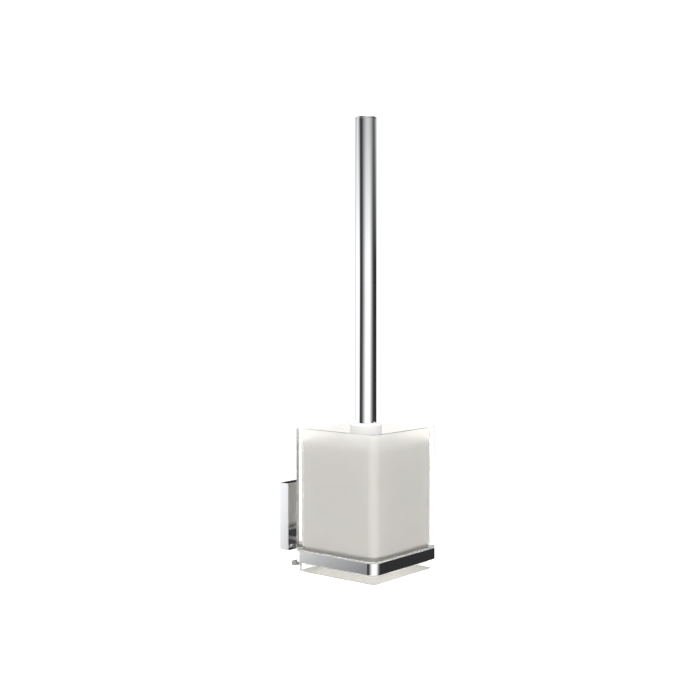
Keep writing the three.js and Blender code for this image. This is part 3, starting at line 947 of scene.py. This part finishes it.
# %% [markdown]
# The light is a plain studio. Chrome shows its surroundings and nothing else, so what the chrome sees is
# worked out with care: a white room with two tall dark flags, one to the camera's left and a broader one
# to its right. They draw the two dark stripes down the handle. Above eye level the walls fade to grey,
# and a dark curtain hangs behind the object, out of sight. Everything that isn't a mirror is lit by
# soft white light that comes mostly from the camera's side, and by a square light overhead. What is
# seen in a mirror is lit by the overhead light alone, which keeps the chrome's dark tones dark. Rays
# that only pass through glass see the white backdrop, as the eye does.

# %% What the chrome sees
# Each stop is a turn in degrees from straight behind the camera, positive to its right, and a brightness.
EYE_LEVEL = (
    (-180, 0.35), (-150, 0.60), (-135, 1.20), (-78, 1.25), (-74, 1.00), (-72, 0.83), (-71, 0.60),
    (-68, 0.34), (-64, 0.08), (-60, 0.04), (-50, 0.03), (-36, 0.14), (-25, 0.42), (-14, 0.72),
    (-3, 1.10), (41, 1.20), (53, 0.80), (65, 0.45), (78, 0.15), (93, 0.04), (148, 0.02),
    (162, 0.35), (180, 0.60),
)
ABOVE_EYE_LEVEL = (
    (-170, 0.03), (-158, 0.60), (-122, 0.64), (-103, 0.90), (-87, 0.56), (-73, 0.22), (-60, 0.03),
    (-48, 0.04), (-36, 0.14), (-25, 0.31), (-14, 0.42), (8, 0.67), (29, 0.67), (53, 0.48),
    (65, 0.34), (78, 0.20), (93, 0.07), (110, 0.22), (132, 0.48), (158, 0.60), (170, 0.03),
)
FLAG_LEAN = 45
GREY_FROM = 0.03
GREY_FULL = 0.15
OVERHEAD_FROM = 0.45
OVERHEAD_FULL = 0.8
OVERHEAD_LIGHT = 1.3


def smooth_step(tools, value, start, end):
    return tools.node(
        "ShaderNodeMapRange", {"interpolation_type": "SMOOTHSTEP"},
        {"Value": value, "From Min": start, "From Max": end},
    )


def mixed(first, second, share):
    """A blend of two numbers or wires, of which the share is always a wire."""
    return (1 - share) * first + share * second


def dot(tools, direction, other):
    return tools.node(
        "ShaderNodeVectorMath", {"operation": "DOT_PRODUCT"}, {0: direction, 1: other}, output="Value",
    )


def walls(tools, turn, stops):
    """The walls' brightness at a turn in degrees. A ramp holds greys up to 1, so it is scaled back."""
    most = max(grey for _, grey in stops)
    places = [(degrees / 360 + 0.5, grey / most) for degrees, grey in stops]
    share = turn * (1 / 360) + 0.5
    return tools.node("ShaderNodeValToRGB", {"stops": places}, {"Fac": share}) * most


def mirrored_room(tools, direction, height):
    to_right = dot(tools, direction, sideways)
    to_camera = dot(tools, direction, -forward)
    below = tools.math("MAXIMUM", height * -1, 0.0)
    turn = tools.math("ARCTAN2", to_right, to_camera) * math.degrees(1) + below * FLAG_LEAN
    grey = tools.node("ShaderNodeMapRange", None, {
        "Value": height, "From Min": GREY_FROM, "From Max": GREY_FULL,
    })
    room = mixed(walls(tools, turn, EYE_LEVEL), walls(tools, turn, ABOVE_EYE_LEVEL), grey)
    overhead = smooth_step(tools, height, OVERHEAD_FROM, OVERHEAD_FULL)
    return mixed(room, OVERHEAD_LIGHT, overhead)


# %% Studio surroundings
BACKDROP = 1.1
SOFT_LIGHT_FRONT = 1.08
SOFT_LIGHT_BEHIND = 0.15
SOFT_LIGHT_FROM = -0.7
SOFT_LIGHT_FULL = 0.5
SECOND_MIRRORING = 0.12


def studio_world():
    world = bpy.data.worlds.new("studio")
    bpy.context.scene.world = world
    world.use_nodes = True
    tools = Wire(world.node_tree)
    direction = tools.node("ShaderNodeTexCoord", output="Generated")
    height = tools.node("ShaderNodeSeparateXYZ", None, {0: direction}, output="Z")
    to_camera = dot(tools, direction, -forward)
    from_front = smooth_step(tools, to_camera, SOFT_LIGHT_FROM, SOFT_LIGHT_FULL)
    soft = mixed(SOFT_LIGHT_BEHIND, SOFT_LIGHT_FRONT, from_front)
    mirror_or_glass = tools.node("ShaderNodeLightPath", output="Is Glossy Ray")
    mirrorings = tools.node("ShaderNodeLightPath", output="Glossy Depth")
    scatterings = tools.node("ShaderNodeLightPath", output="Diffuse Depth")
    once = tools.math("GREATER_THAN", mirrorings, 0.5)
    again = tools.math("GREATER_THAN", mirrorings, 1.5)
    scattered = tools.math("GREATER_THAN", scatterings, 0.5)
    soft = soft * (1 - once)
    room = mirrored_room(tools, direction, height) * mixed(1.0, SECOND_MIRRORING, again)
    background = world.node_tree.nodes["Background"]
    mixed(mixed(BACKDROP, soft, scattered), room, mirror_or_glass * once).feed(background, "Color")


studio_world()
print("the surroundings are set")

# %% Overhead light
OVERHEAD_SIZE = 0.6
OVERHEAD_HEIGHT = 1.1
OVERHEAD_POWER = 26
OVERHEAD_TOWARDS_CAMERA = 0.08


def overhead_light():
    data = bpy.data.lights.new("overhead", "AREA")
    data.shape = "SQUARE"
    data.size = OVERHEAD_SIZE
    data.energy = OVERHEAD_POWER
    light = bpy.data.objects.new("overhead", data)
    light.location = axis - forward * OVERHEAD_TOWARDS_CAMERA + Vector((0, 0, OVERHEAD_HEIGHT))
    light.rotation_euler = (axis - light.location).to_track_quat("-Z", "Y").to_euler()
    light.visible_glossy = False
    light.visible_camera = False
    bpy.context.scene.collection.objects.link(light)


overhead_light()

# %% [markdown]
# The floor is plain and pale. It lies below the object, because the object hangs on a wall, and it ends
# a few metres behind it. It is left out of mirror reflections, which see the surroundings instead.

# %% Floor
FLOOR_DROP = 0.12
FLOOR_REACH = 2.1
FLOOR_GLOW = 0.42


def pale_floor():
    material, shader, tools, place = new_finish("pale_floor", Roughness=0.9)
    grain = noise(tools, place, 3, detail=2)
    shaded(tools, shader, grain, (0.9, 0.9, 0.9), (0.92, 0.92, 0.92))
    shader.inputs["Emission Color"].default_value = (1, 1, 1, 1)
    shader.inputs["Emission Strength"].default_value = FLOOR_GLOW
    bm = bmesh.new()
    bmesh.ops.create_grid(bm, x_segments=1, y_segments=1, size=FLOOR_REACH)
    bmesh.ops.rotate(bm, matrix=Matrix.Rotation(CAMERA_TURN, 3, "Z"), verts=bm.verts)
    bmesh.ops.translate(bm, vec=axis + Vector((0, 0, cad_low.z - FLOOR_DROP)), verts=bm.verts)
    mesh = bpy.data.meshes.new("floor")
    bm.to_mesh(mesh)
    bm.free()
    mesh.materials.append(material)
    floor = bpy.data.objects.new("floor", mesh)
    bpy.context.scene.collection.objects.link(floor)
    floor.visible_glossy = False
    return floor


pale_floor()
